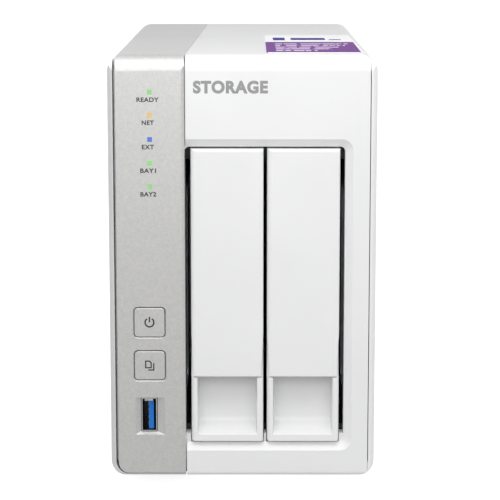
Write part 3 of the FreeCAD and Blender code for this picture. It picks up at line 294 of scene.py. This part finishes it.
def label_paper():
    """Printed paper sticker: a purple half with plain bars for print, a white half and a pale border."""
    material, tree, shader = start("label_print", 0.6)
    shader.inputs["Specular IOR Level"].default_value = 0.2
    x, y, _ = axes(tree, where(tree, (1000.0, 1000.0, 1000.0)))
    fine = grain(tree, where(tree), 0.0006, 3.0)
    purple = ramp(tree, fine, [(0.3, (0.17, 0.05, 0.26)), (0.7, (0.19, 0.06, 0.29))])
    white = ramp(tree, fine, [(0.3, (0.92, 0.92, 0.93)), (0.7, (0.95, 0.95, 0.96))])
    near, left, right = LABEL_EDGES
    field = math_node(tree, "MULTIPLY", inside(tree, y, near, LABEL_SPLIT), inside(tree, x, left, right))
    colour = blend_colours(tree, field, white, purple)
    patches = grain(tree, where(tree, (1.0, 0.12, 0.0)), 0.0013, 2.0, 0.7)
    broken = math_node(tree, "GREATER_THAN", patches, 0.44)
    for near, left, right in LABEL_BARS:
        line = math_node(tree, "MULTIPLY", inside(tree, y, near, near + LABEL_BAR_DEEP),
                         inside(tree, x, left, right))
        colour = blend_colours(tree, math_node(tree, "MULTIPLY", line, broken), colour, (0.72, 0.62, 0.8))
    for near, far, left, right in LABEL_TITLE:
        block = math_node(tree, "MULTIPLY", inside(tree, y, near, far), inside(tree, x, left, right))
        colour = blend_colours(tree, block, colour, (0.03, 0.03, 0.25))
    paint(tree, shader, colour)
    bumps(tree, shader, fine, 0.000008)
    return material


def lens(name, base, glow, strength):
    """Light guide that glows, a little brighter in patches."""
    material, tree, shader = start(name, 0.25)
    shader.inputs["Emission Strength"].default_value = strength
    patch = grain(tree, where(tree), 0.0006, 1.0)
    dim = tuple(0.9 * part for part in glow)
    paint(tree, shader, ramp(tree, patch, [(0.3, base), (0.7, tuple(1.1 * part for part in base))]))
    tree.links.new(ramp(tree, patch, [(0.3, dim), (0.7, glow)]), shader.inputs["Emission Color"])
    return material


def foot_rubber():
    return moulded("foot_rubber_black", (0.03, 0.03, 0.032), (0.05, 0.05, 0.052), 0.7, 0.0004, 0.00002)


# ---- Materials of boards, metal and small parts ----

def circuit_board():
    """Green solder mask over blocky copper traces, with small tinned pads."""
    material, tree, shader = start("solder_mask", 0.35)
    point = where(tree)
    edge = cells(tree, point, 0.006, "Distance", "DISTANCE_TO_EDGE")
    grid = cells(tree, point, 0.0024, "Distance", "F1", "CHEBYCHEV")
    trace = math_node(tree, "MAXIMUM", math_node(tree, "LESS_THAN", edge, 0.05),
                      math_node(tree, "GREATER_THAN", grid, 0.5))
    mask = blend_colours(tree, trace, (0.012, 0.085, 0.04), (0.03, 0.16, 0.075))
    pads = math_node(tree, "LESS_THAN", cells(tree, point, 0.0045, "Distance"), 0.1)
    paint(tree, shader, blend_colours(tree, pads, mask, (0.55, 0.53, 0.48)))
    tree.links.new(pads, shader.inputs["Metallic"])
    bumps(tree, shader, math_node(tree, "ADD", trace, pads), 0.00003)
    return material


def chip_black():
    return moulded("chip_epoxy", (0.022, 0.022, 0.024), (0.035, 0.035, 0.037), 0.5, 0.0002, 0.00001)


def black_plastic():
    return moulded("black_moulding", (0.018, 0.018, 0.02), (0.03, 0.03, 0.032), 0.42, 0.0003, 0.000012)


def grey_plastic():
    return moulded("grey_moulding", (0.3, 0.3, 0.31), (0.36, 0.36, 0.37), 0.42, 0.0003, 0.000012)


def port_blue():
    return moulded("blue_moulding", (0.002, 0.15, 0.56), (0.004, 0.18, 0.62), 0.3, 0.0002, 0.000006)


def brushed(name, low, high, shine, stretch, depth):
    """Metal with fine lines along one axis."""
    material, tree, shader = start(name, shine, 1.0)
    lines = grain(tree, where(tree, stretch), 0.0003, 4.0, 0.65)
    paint(tree, shader, ramp(tree, lines, [(0.3, low), (0.7, high)]))
    rough(tree, shader, spread(tree, lines, shine - 0.07, shine + 0.07))
    bumps(tree, shader, lines, depth)
    return material


def port_steel():
    """Nickel shell of a port, bright at its mouth, with painted shade that makes it near black further in."""
    material, tree, shader = start("plated_shell", 0.3, 1.0)
    _, y, _ = axes(tree, where(tree, (1000.0, 1000.0, 1000.0)))
    lines = grain(tree, where(tree, (1.0, 0.1, 1.0)), 0.0003, 4.0, 0.65)
    bright = ramp(tree, lines, [(0.3, (0.66, 0.66, 0.67)), (0.7, (0.76, 0.76, 0.77))])
    # Painted shade: the shell is coloured near black deeper in than its mouth, where it lies in shadow
    painted_shade_inside = inside(tree, y, -PORT_SHADE_START_Y, PORT_SHADE_START_Y)
    paint(tree, shader, blend_colours(tree, painted_shade_inside, bright, (0.05, 0.05, 0.055)))
    rough(tree, shader, spread(tree, lines, 0.23, 0.37))
    bumps(tree, shader, lines, 0.000004)
    return material


def sheet_steel():
    """Zinc-plated sheet: faint crystal patches under fine rolling lines."""
    material, tree, shader = start("zinc_sheet", 0.38, 1.0)
    point = where(tree)
    patch = cells(tree, point, 0.007)
    shade = add(tree, "ShaderNodeRGBToBW")
    tree.links.new(patch, shade.inputs["Color"])
    paint(tree, shader, ramp(tree, shade.outputs["Val"],
                             [(0.1, (0.52, 0.53, 0.54)), (0.9, (0.66, 0.67, 0.68))]))
    lines = grain(tree, where(tree, (1.0, 0.06, 1.0)), 0.0004, 3.0, 0.6)
    rough(tree, shader, spread(tree, lines, 0.3, 0.46))
    bumps(tree, shader, lines, 0.000005)
    return material


def panel_paint():
    """Fine grey powder coat on the rear panel."""
    material, tree, shader = start("powder_coat", 0.5, 0.15)
    point = where(tree)
    peel = grain(tree, point, 0.0006, 3.0, 0.6)
    paint(tree, shader, ramp(tree, grain(tree, point, 0.015, 3.0),
                             [(0.3, (0.5, 0.5, 0.51)), (0.7, (0.56, 0.56, 0.57))]))
    rough(tree, shader, spread(tree, peel, 0.42, 0.58))
    bumps(tree, shader, peel, 0.00003)
    return material


def screw_steel():
    return brushed("nickel_screw", (0.55, 0.55, 0.56), (0.68, 0.68, 0.69), 0.28, (1.0, 1.0, 1.0), 0.000005)


def heatsink_alloy():
    return brushed("extruded_alloy", (0.48, 0.49, 0.51), (0.6, 0.61, 0.63), 0.4, (1.0, 0.05, 1.0), 0.00001)


def drive_casting():
    """Cast and painted body of the drive: coarse grain."""
    material, tree, shader = start("cast_alloy", 0.5, 0.85)
    point = where(tree)
    coarse = grain(tree, point, 0.0009, 4.0, 0.65)
    paint(tree, shader, ramp(tree, coarse, [(0.3, (0.36, 0.365, 0.37)), (0.7, (0.48, 0.485, 0.49))]))
    rough(tree, shader, spread(tree, coarse, 0.42, 0.6))
    bumps(tree, shader, coarse, 0.00004)
    return material


def drive_steel():
    return brushed("drive_cover_steel", (0.62, 0.63, 0.64), (0.74, 0.75, 0.76), 0.32,
                   (1.0, 0.04, 1.0), 0.000006)


def capacitor_can():
    """Black sleeve round the can, and its bare end."""
    material, tree, shader = start("capacitor_sleeve", 0.35)
    facing = add(tree, "ShaderNodeNewGeometry")
    outward, _, _ = axes(tree, facing.outputs["Normal"])
    end = math_node(tree, "GREATER_THAN", outward, 0.8)
    fine = grain(tree, where(tree), 0.0004, 3.0)
    bare = ramp(tree, fine, [(0.3, (0.6, 0.6, 0.61)), (0.7, (0.72, 0.72, 0.73))])
    paint(tree, shader, blend_colours(tree, end, (0.02, 0.02, 0.03), bare))
    tree.links.new(end, shader.inputs["Metallic"])
    bumps(tree, shader, fine, 0.00001)
    return material


def cell_steel():
    return brushed("cell_can", (0.62, 0.62, 0.63), (0.76, 0.76, 0.77), 0.25, (1.0, 1.0, 0.06), 0.000004)


def lead_rubber():
    return moulded("lead_sleeve", (0.02, 0.02, 0.022), (0.035, 0.035, 0.037), 0.5, 0.0004, 0.00002)


def ribbon_white():
    """Flat cable: one ridge for each conductor, with painted shade in the grooves between them."""
    material, tree, shader = start("ribbon_cable", 0.45)
    _, _, z = axes(tree, where(tree, (1000.0, 1000.0, 1000.0)))
    ridge = math_node(tree, "PINGPONG", z, 0.5)
    # Painted shade: the grooves between the conductors are coloured darker than the ridges
    paint(tree, shader, ramp(tree, ridge, [(0.05, (0.55, 0.55, 0.53)), (0.3, (0.75, 0.75, 0.73))]))
    bumps(tree, shader, ridge, 0.0002)
    return material


def ink(name, low, high):
    """Screen-printed ink, very slightly uneven."""
    material, tree, shader = start(name, 0.5)
    fine = grain(tree, where(tree), 0.0003, 3.0, 0.7)
    paint(tree, shader, ramp(tree, fine, [(0.3, low), (0.7, high)]))
    bumps(tree, shader, fine, 0.000004)
    return material


def gold_contact():
    return brushed("gold_contact", (0.75, 0.52, 0.2), (0.85, 0.62, 0.28), 0.25, (1.0, 0.1, 1.0), 0.000003)


def drive_label():
    """White sticker on a drive: plain grey bars where print would be, and a dark band."""
    material, tree, shader = start("drive_label_print", 0.45)
    point = where(tree)
    _, y, z = axes(tree, where(tree, (1000.0, 1000.0, 1000.0)))
    fine = grain(tree, point, 0.0006, 3.0)
    colour = ramp(tree, fine, [(0.3, (0.78, 0.78, 0.79)), (0.7, (0.83, 0.83, 0.84))])
    rows = math_node(tree, "LESS_THAN", math_node(tree, "PINGPONG", z, 2.0), 0.7)
    text_area = math_node(tree, "MULTIPLY", inside(tree, y, -78.0, -22.0), inside(tree, z, 42.0, 98.0))
    ragged = math_node(tree, "GREATER_THAN", grain(tree, where(tree, (0.0, 1.0, 0.25)), 0.004, 2.0), 0.45)
    bars = math_node(tree, "MULTIPLY", math_node(tree, "MULTIPLY", rows, text_area), ragged)
    colour = blend_colours(tree, bars, colour, (0.16, 0.16, 0.17))
    colour = blend_colours(tree, inside(tree, z, 102.0, 112.0), colour, (0.05, 0.16, 0.1))
    paint(tree, shader, colour)
    bumps(tree, shader, fine, 0.000006)
    return material


def fan_label():
    """Round sticker on the fan's motor: silver rings and a few plain bars."""
    material, tree, shader = start("fan_label_print", 0.4, 0.3)
    x, _, z = axes(tree, where(tree, (1000.0, 1000.0, 1000.0)))
    across = math_node(tree, "SUBTRACT", x, MOTOR[0])
    up = math_node(tree, "SUBTRACT", z, MOTOR[2])
    across_squared = math_node(tree, "MULTIPLY", across, across)
    up_squared = math_node(tree, "MULTIPLY", up, up)
    away = math_node(tree, "SQRT", math_node(tree, "ADD", across_squared, up_squared))
    ring = inside(tree, away, 10.2, 10.7)
    rows = math_node(tree, "LESS_THAN", math_node(tree, "PINGPONG", up, 1.5), 0.45)
    block = math_node(tree, "MULTIPLY", inside(tree, across, -6.0, 6.0), inside(tree, up, -5.0, 5.0))
    dark = math_node(tree, "MAXIMUM", ring, math_node(tree, "MULTIPLY", rows, block))
    fine = grain(tree, where(tree), 0.0005, 3.0)
    paper = ramp(tree, fine, [(0.3, (0.5, 0.5, 0.51)), (0.7, (0.58, 0.58, 0.59))])
    paint(tree, shader, blend_colours(tree, dark, paper, (0.05, 0.05, 0.06)))
    bumps(tree, shader, fine, 0.000006)
    return material


SLOT_MATERIALS = {
    "silver_shell": silver_shell,
    "white_shell": white_shell,
    "strip_silver": strip_silver,
    "label_paper": label_paper,
    "lens_green": lambda: lens("green_lamp", (0.05, 0.12, 0.04), (0.26, 0.62, 0.21), 1.0),
    "lens_amber": lambda: lens("amber_lamp", (0.12, 0.09, 0.03), (0.7, 0.5, 0.16), 1.0),
    "lens_blue": lambda: lens("blue_lamp", (0.03, 0.05, 0.12), (0.09, 0.17, 0.56), 1.0),
    "circuit_board": circuit_board,
    "chip_black": chip_black,
    "black_plastic": black_plastic,
    "grey_plastic": grey_plastic,
    "port_blue": port_blue,
    "port_steel": port_steel,
    "sheet_steel": sheet_steel,
    "panel_paint": panel_paint,
    "screw_steel": screw_steel,
    "heatsink_alloy": heatsink_alloy,
    "drive_casting": drive_casting,
    "drive_steel": drive_steel,
    "capacitor_can": capacitor_can,
    "cell_steel": cell_steel,
    "foot_rubber": foot_rubber,
    "lead_rubber": lead_rubber,
    "ribbon_white": ribbon_white,
}


def finish_cad_nodes(frame):
    """Gives every CAD node the material of its slot."""
    made = {slot: build() for slot, build in SLOT_MATERIALS.items()}
    for part in frame["record"]["subparts"]:
        node = frame["nodes"][part["node"]]
        for slot in node.material_slots:
            slot.material = made[part["material_slot"]]
    return made


# ---- Pieces ----

def piece(name, mesh, material, body):
    """A new object from a mesh in millimetres, riding on a body."""
    mesh.transform(Matrix.Scale(MM, 4))
    mesh.materials.append(material)
    made = bpy.data.objects.new(name, mesh)
    bpy.context.scene.collection.objects.link(made)
    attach(made, body)
    return made


def lettering(text, x, y, z, width, height, weight):
    """Mesh of a word that faces the front, sized to a width and height about its centre."""
    curve = bpy.data.curves.new("word", "FONT")
    curve.body = text
    curve.extrude = 0.01
    curve.offset = weight
    curve.space_character = 1.1
    holder = bpy.data.objects.new("word", curve)
    bpy.context.scene.collection.objects.link(holder)
    bpy.context.view_layer.update()
    mesh = bpy.data.meshes.new_from_object(holder.evaluated_get(bpy.context.evaluated_depsgraph_get()))
    bpy.data.objects.remove(holder)
    xs = [v.co.x for v in mesh.vertices]
    ys = [v.co.y for v in mesh.vertices]
    across = width / (max(xs) - min(xs))
    up = height / (max(ys) - min(ys))
    middle_x = (max(xs) + min(xs)) / 2
    middle_y = (max(ys) + min(ys)) / 2
    for v in mesh.vertices:
        back = 0.0 if v.co.z > 0 else PRINT_THICK
        v.co = Vector((x + (v.co.x - middle_x) * across, y + back, z + (v.co.y - middle_y) * up))
    mesh.update()
    return mesh


def mesh_from(build):
    mesh = bpy.data.meshes.new("shape")
    build.to_mesh(mesh)
    build.free()
    return mesh


def extruded(outlines, y, thick):
    """Mesh of flat shapes that face the front: each outline is a ring of (x, z) corners, as quads."""
    build = bmesh.new()
    for ring in outlines:
        front = [build.verts.new((x, y, z)) for x, z in ring]
        back = [build.verts.new((x, y + thick, z)) for x, z in ring]
        count = len(ring)
        build.faces.new(front)
        build.faces.new(list(reversed(back)))
        for number in range(count):
            after = (number + 1) % count
            build.faces.new((front[after], front[number], back[number], back[after]))
    bmesh.ops.recalc_face_normals(build, faces=build.faces)
    return mesh_from(build)


def arc_band(cx, cz, radius, line, start_angle, end_angle, steps):
    """Closed outline of a band along an arc, with angles in degrees."""
    outer = []
    inner = []
    for number in range(steps + 1):
        angle = math.radians(start_angle + (end_angle - start_angle) * number / steps)
        outer.append((cx + (radius + line / 2) * math.cos(angle), cz + (radius + line / 2) * math.sin(angle)))
        inner.append((cx + (radius - line / 2) * math.cos(angle), cz + (radius - line / 2) * math.sin(angle)))
    return outer + list(reversed(inner))


def bar(x0, x1, z0, z1):
    return [(x0, z0), (x1, z0), (x1, z1), (x0, z1)]


def power_icon(dark):
    """Open ring with a bar through its gap."""
    line = 0.58
    shapes = [arc_band(BUTTON_X, POWER_Z, 1.68, line, 122, 418, 28),
              bar(BUTTON_X - line / 2, BUTTON_X + line / 2, POWER_Z + 0.1, POWER_Z + 2.2)]
    piece("power_icon", extruded(shapes, BUTTON_Y - PROUD, PRINT_THICK), dark, "power_button")


def copy_icon(dark):
    """A whole sheet with a cut corner, and the edges of another behind it."""
    line = 0.5
    left = BUTTON_X - 1.85
    right = BUTTON_X + 0.75
    low = COPY_Z - 1.1
    high = COPY_Z + 2.0
    corner = 0.8
    slope = line * 0.42
    behind_right = BUTTON_X + 1.75
    behind_low = COPY_Z - 2.0
    shapes = [bar(left, left + line, low, high),
              bar(left + line, right, low, low + line),
              bar(right - line, right, low + line, high - corner),
              bar(left + line, right - corner, high - line, high),
              [(right - corner, high), (right - corner, high - line), (right - corner - slope, high - line),
               (right - line, high - corner - slope), (right - line, high - corner), (right, high - corner)],
              bar(behind_right - line, behind_right, behind_low, COPY_Z + 0.9),
              bar(BUTTON_X - 0.6, behind_right - line, behind_low, behind_low + line)]
    piece("copy_icon", extruded(shapes, BUTTON_Y - PROUD, PRINT_THICK), dark, "copy_button")


def front_printing():
    """The plain word on the bezel, and the words under the lamps."""
    grey = ink("grey_ink", (0.3, 0.3, 0.3), (0.33, 0.33, 0.33))
    dark = ink("dark_ink", (0.03, 0.03, 0.03), (0.05, 0.05, 0.05))
    text, x, z, width, height = WORD
    word = lettering(text, x, FACE_Y - PROUD, z, width, height, WORD_WEIGHT)
    piece("front_word", word, grey, "chassis")
    for text, lamp_z, width in LAMP_LABELS:
        mesh = lettering(text, LABEL_X, FACE_Y - PROUD, lamp_z - LABEL_DROP, width,
                         LABEL_HEIGHT, LABEL_WEIGHT)
        piece("lamp_word_" + text.lower(), mesh, dark, "chassis")
    power_icon(dark)
    copy_icon(dark)


def boxes(rows):
    """Mesh of rounded-edge blocks, each (x0, x1, y0, y1, z0, z1, bevel)."""
    build = bmesh.new()
    for x0, x1, y0, y1, z0, z1, bevel in rows:
        new = bmesh.ops.create_cube(build, size=1.0)["verts"]
        for v in new:
            v.co = Vector(((x0 + x1) / 2 + v.co.x * (x1 - x0), (y0 + y1) / 2 + v.co.y * (y1 - y0),
                           (z0 + z1) / 2 + v.co.z * (z1 - z0)))
        if bevel > 0:
            edges = list({edge for v in new for edge in v.link_edges})
            bmesh.ops.bevel(build, geom=edges, offset=bevel, segments=2, profile=0.5, affect="EDGES")
    return mesh_from(build)


def port_contacts(gold, steel):
    """Spring contacts on the tongues of the three serial ports, and the front port's top spring."""
    rows = []
    for z in FRONT_CONTACT_ZS:
        rows.append((-36.42, -36.24, -107.2, -97.0, z - CONTACT_HALF, z + CONTACT_HALF, 0.05))
    piece("front_port_contacts", boxes(rows), gold, "chassis")
    piece("front_port_spring", boxes([FRONT_SPRING]), steel, "chassis")
    rows = []
    for centre in REAR_PORT_ZS:
        for step in REAR_CONTACT_STEPS:
            z = centre + step
            rows.append((-36.76, -36.58, 96.0, 106.8, z - CONTACT_HALF, z + CONTACT_HALF, 0.05))
    piece("rear_port_contacts", boxes(rows), gold, "chassis")


def jack_contacts(gold):
    """Eight sprung wires in each network jack, rising from the wall as they go in."""
    build = bmesh.new()
    root_x = JACK_WALL_X - 0.1
    root_y = JACK_FACE_Y - WIRE_ROOT
    tip_x = JACK_WALL_X + WIRE_RISE
    tip_y = JACK_FACE_Y - WIRE_TIP
    side_view = [(root_x, root_y), (root_x, root_y - WIRE_THICK), (tip_x, tip_y), (tip_x, tip_y + WIRE_THICK)]
    for centre in JACK_ZS:
        for number in range(WIRE_COUNT):
            z = centre + (number - (WIRE_COUNT - 1) / 2) * WIRE_PITCH
            low = [build.verts.new((x, y, z - WIRE_THICK / 2)) for x, y in side_view]
            high = [build.verts.new((x, y, z + WIRE_THICK / 2)) for x, y in side_view]
            build.faces.new(low)
            build.faces.new(list(reversed(high)))
            for side in range(4):
                after = (side + 1) % 4
                build.faces.new((low[after], low[side], high[side], high[after]))
    bmesh.ops.recalc_face_normals(build, faces=build.faces)
    piece("lan_contacts", mesh_from(build), gold, "chassis")


def jack_lamps(made):
    """A green and an amber lamp on the rear face of each network jack."""
    for colour, way in (("green", 1), ("amber", -1)):
        rows = []
        for centre in JACK_ZS:
            z = centre + way * 4.9
            rows.append((JACK_LAMP_X - 1.0, JACK_LAMP_X + 1.0, JACK_FACE_Y - 0.3, JACK_FACE_Y + 0.12,
                         z - 1.1, z + 1.1, 0.1))
        piece("lan_lamps_" + colour, boxes(rows), made["lens_" + colour], "chassis")


def fan_sticker():
    """Thin disc on the back of the fan's motor."""
    x, y, z = MOTOR
    ring = []
    for number in range(64):
        angle = math.radians(number * 360 / 64)
        ring.append((x + MOTOR_LABEL_R * math.cos(angle), z + MOTOR_LABEL_R * math.sin(angle)))
    piece("fan_label", extruded([ring], y - 0.02, 0.1), fan_label(), "chassis")


def drive_stickers():
    """Sticker in the dish of each drive's lid, which rides on the tray."""
    paper = drive_label()
    near, far, low, high = DRIVE_LABEL
    for tray, centre in TRAY_CENTRES.items():
        x = centre + DRIVE_LID_X + DRIVE_DISH_DEEP
        mesh = boxes([(x - 0.06, x + 0.02, near, far, low, high, 0.0)])
        piece(tray + "_drive_label", mesh, paper, tray)


def make_camera():
    data = bpy.data.cameras.new("camera")
    data.lens = CAMERA_LENS
    data.sensor_width = SENSOR
    data.clip_start = 0.01
    data.clip_end = 50.0
    camera = bpy.data.objects.new("camera", data)
    camera.location = Vector(CAMERA_PLACE) * MM
    camera.rotation_euler = (math.radians(90 - CAMERA_PITCH), 0, 0)
    bpy.context.scene.collection.objects.link(camera)
    bpy.context.scene.camera = camera


def area_light(name, place, target, size, watts):
    data = bpy.data.lights.new(name, "AREA")
    data.shape = "RECTANGLE"
    data.size, data.size_y = size
    data.energy = watts
    made = bpy.data.objects.new(name, data)
    made.location = place
    made.rotation_euler = (Vector(target) - Vector(place)).to_track_quat("-Z", "Y").to_euler()
    bpy.context.scene.collection.objects.link(made)
    made.visible_camera = False
    made.visible_glossy = name not in DULL_LIGHTS


def make_lights():
    for name, place, target, size, watts in LIGHTS:
        area_light(name, place, target, size, watts)
    world = bpy.data.worlds.new("studio")
    world.use_nodes = True
    tree = world.node_tree
    place = add(tree, "ShaderNodeTexCoord")
    _, _, up = axes(tree, place.outputs["Generated"])
    height = spread(tree, up, 0.0, 1.0, -1.0, 1.0)
    sky = ramp(tree, height, [(at, (level, level, level)) for at, level in SKY])
    tree.links.new(sky, tree.nodes["Background"].inputs["Color"])
    bpy.context.scene.world = world
    bpy.context.scene.view_settings.view_transform = "Standard"


def stage_object(name, mesh, material):
    made = bpy.data.objects.new(name, mesh)
    mesh.materials.append(material)
    bpy.context.scene.collection.objects.link(made)
    return made


def make_stage():
    """Pale floor, and a white dome that only the camera sees."""
    floor, tree, shader = start("pale_floor", 0.9)
    shader.inputs["Emission Color"].default_value = (1.0, 1.0, 1.0, 1.0)
    shader.inputs["Emission Strength"].default_value = FLOOR_GLOW
    paint(tree, shader, ramp(tree, grain(tree, where(tree), 0.3, 2.0),
                             [(0.3, (0.8, 0.8, 0.8)), (0.7, (0.81, 0.81, 0.81))]))
    build = bmesh.new()
    bmesh.ops.create_circle(build, cap_ends=True, segments=96, radius=STAGE_REACH)
    ground = stage_object("floor", mesh_from(build), floor)
    ground.visible_diffuse = False
    ground.visible_glossy = False
    white, _, shader = start("dome_white", 1.0)
    shader.inputs["Base Color"].default_value = (0.0, 0.0, 0.0, 1.0)
    shader.inputs["Specular IOR Level"].default_value = 0.0
    shader.inputs["Emission Color"].default_value = (1.0, 1.0, 1.0, 1.0)
    shader.inputs["Emission Strength"].default_value = 1.0
    build = bmesh.new()
    bmesh.ops.create_icosphere(build, subdivisions=4, radius=DOME_RADIUS)
    dome = stage_object("dome", mesh_from(build), white)
    dome.visible_diffuse = False
    dome.visible_glossy = False
    dome.visible_transmission = False
    dome.visible_shadow = False


def main():
    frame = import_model()
    made = finish_cad_nodes(frame)
    front_printing()
    gold = gold_contact()
    port_contacts(gold, made["screw_steel"])
    jack_contacts(gold)
    jack_lamps(made)
    fan_sticker()
    drive_stickers()
    make_camera()
    make_lights()
    make_stage()


main()
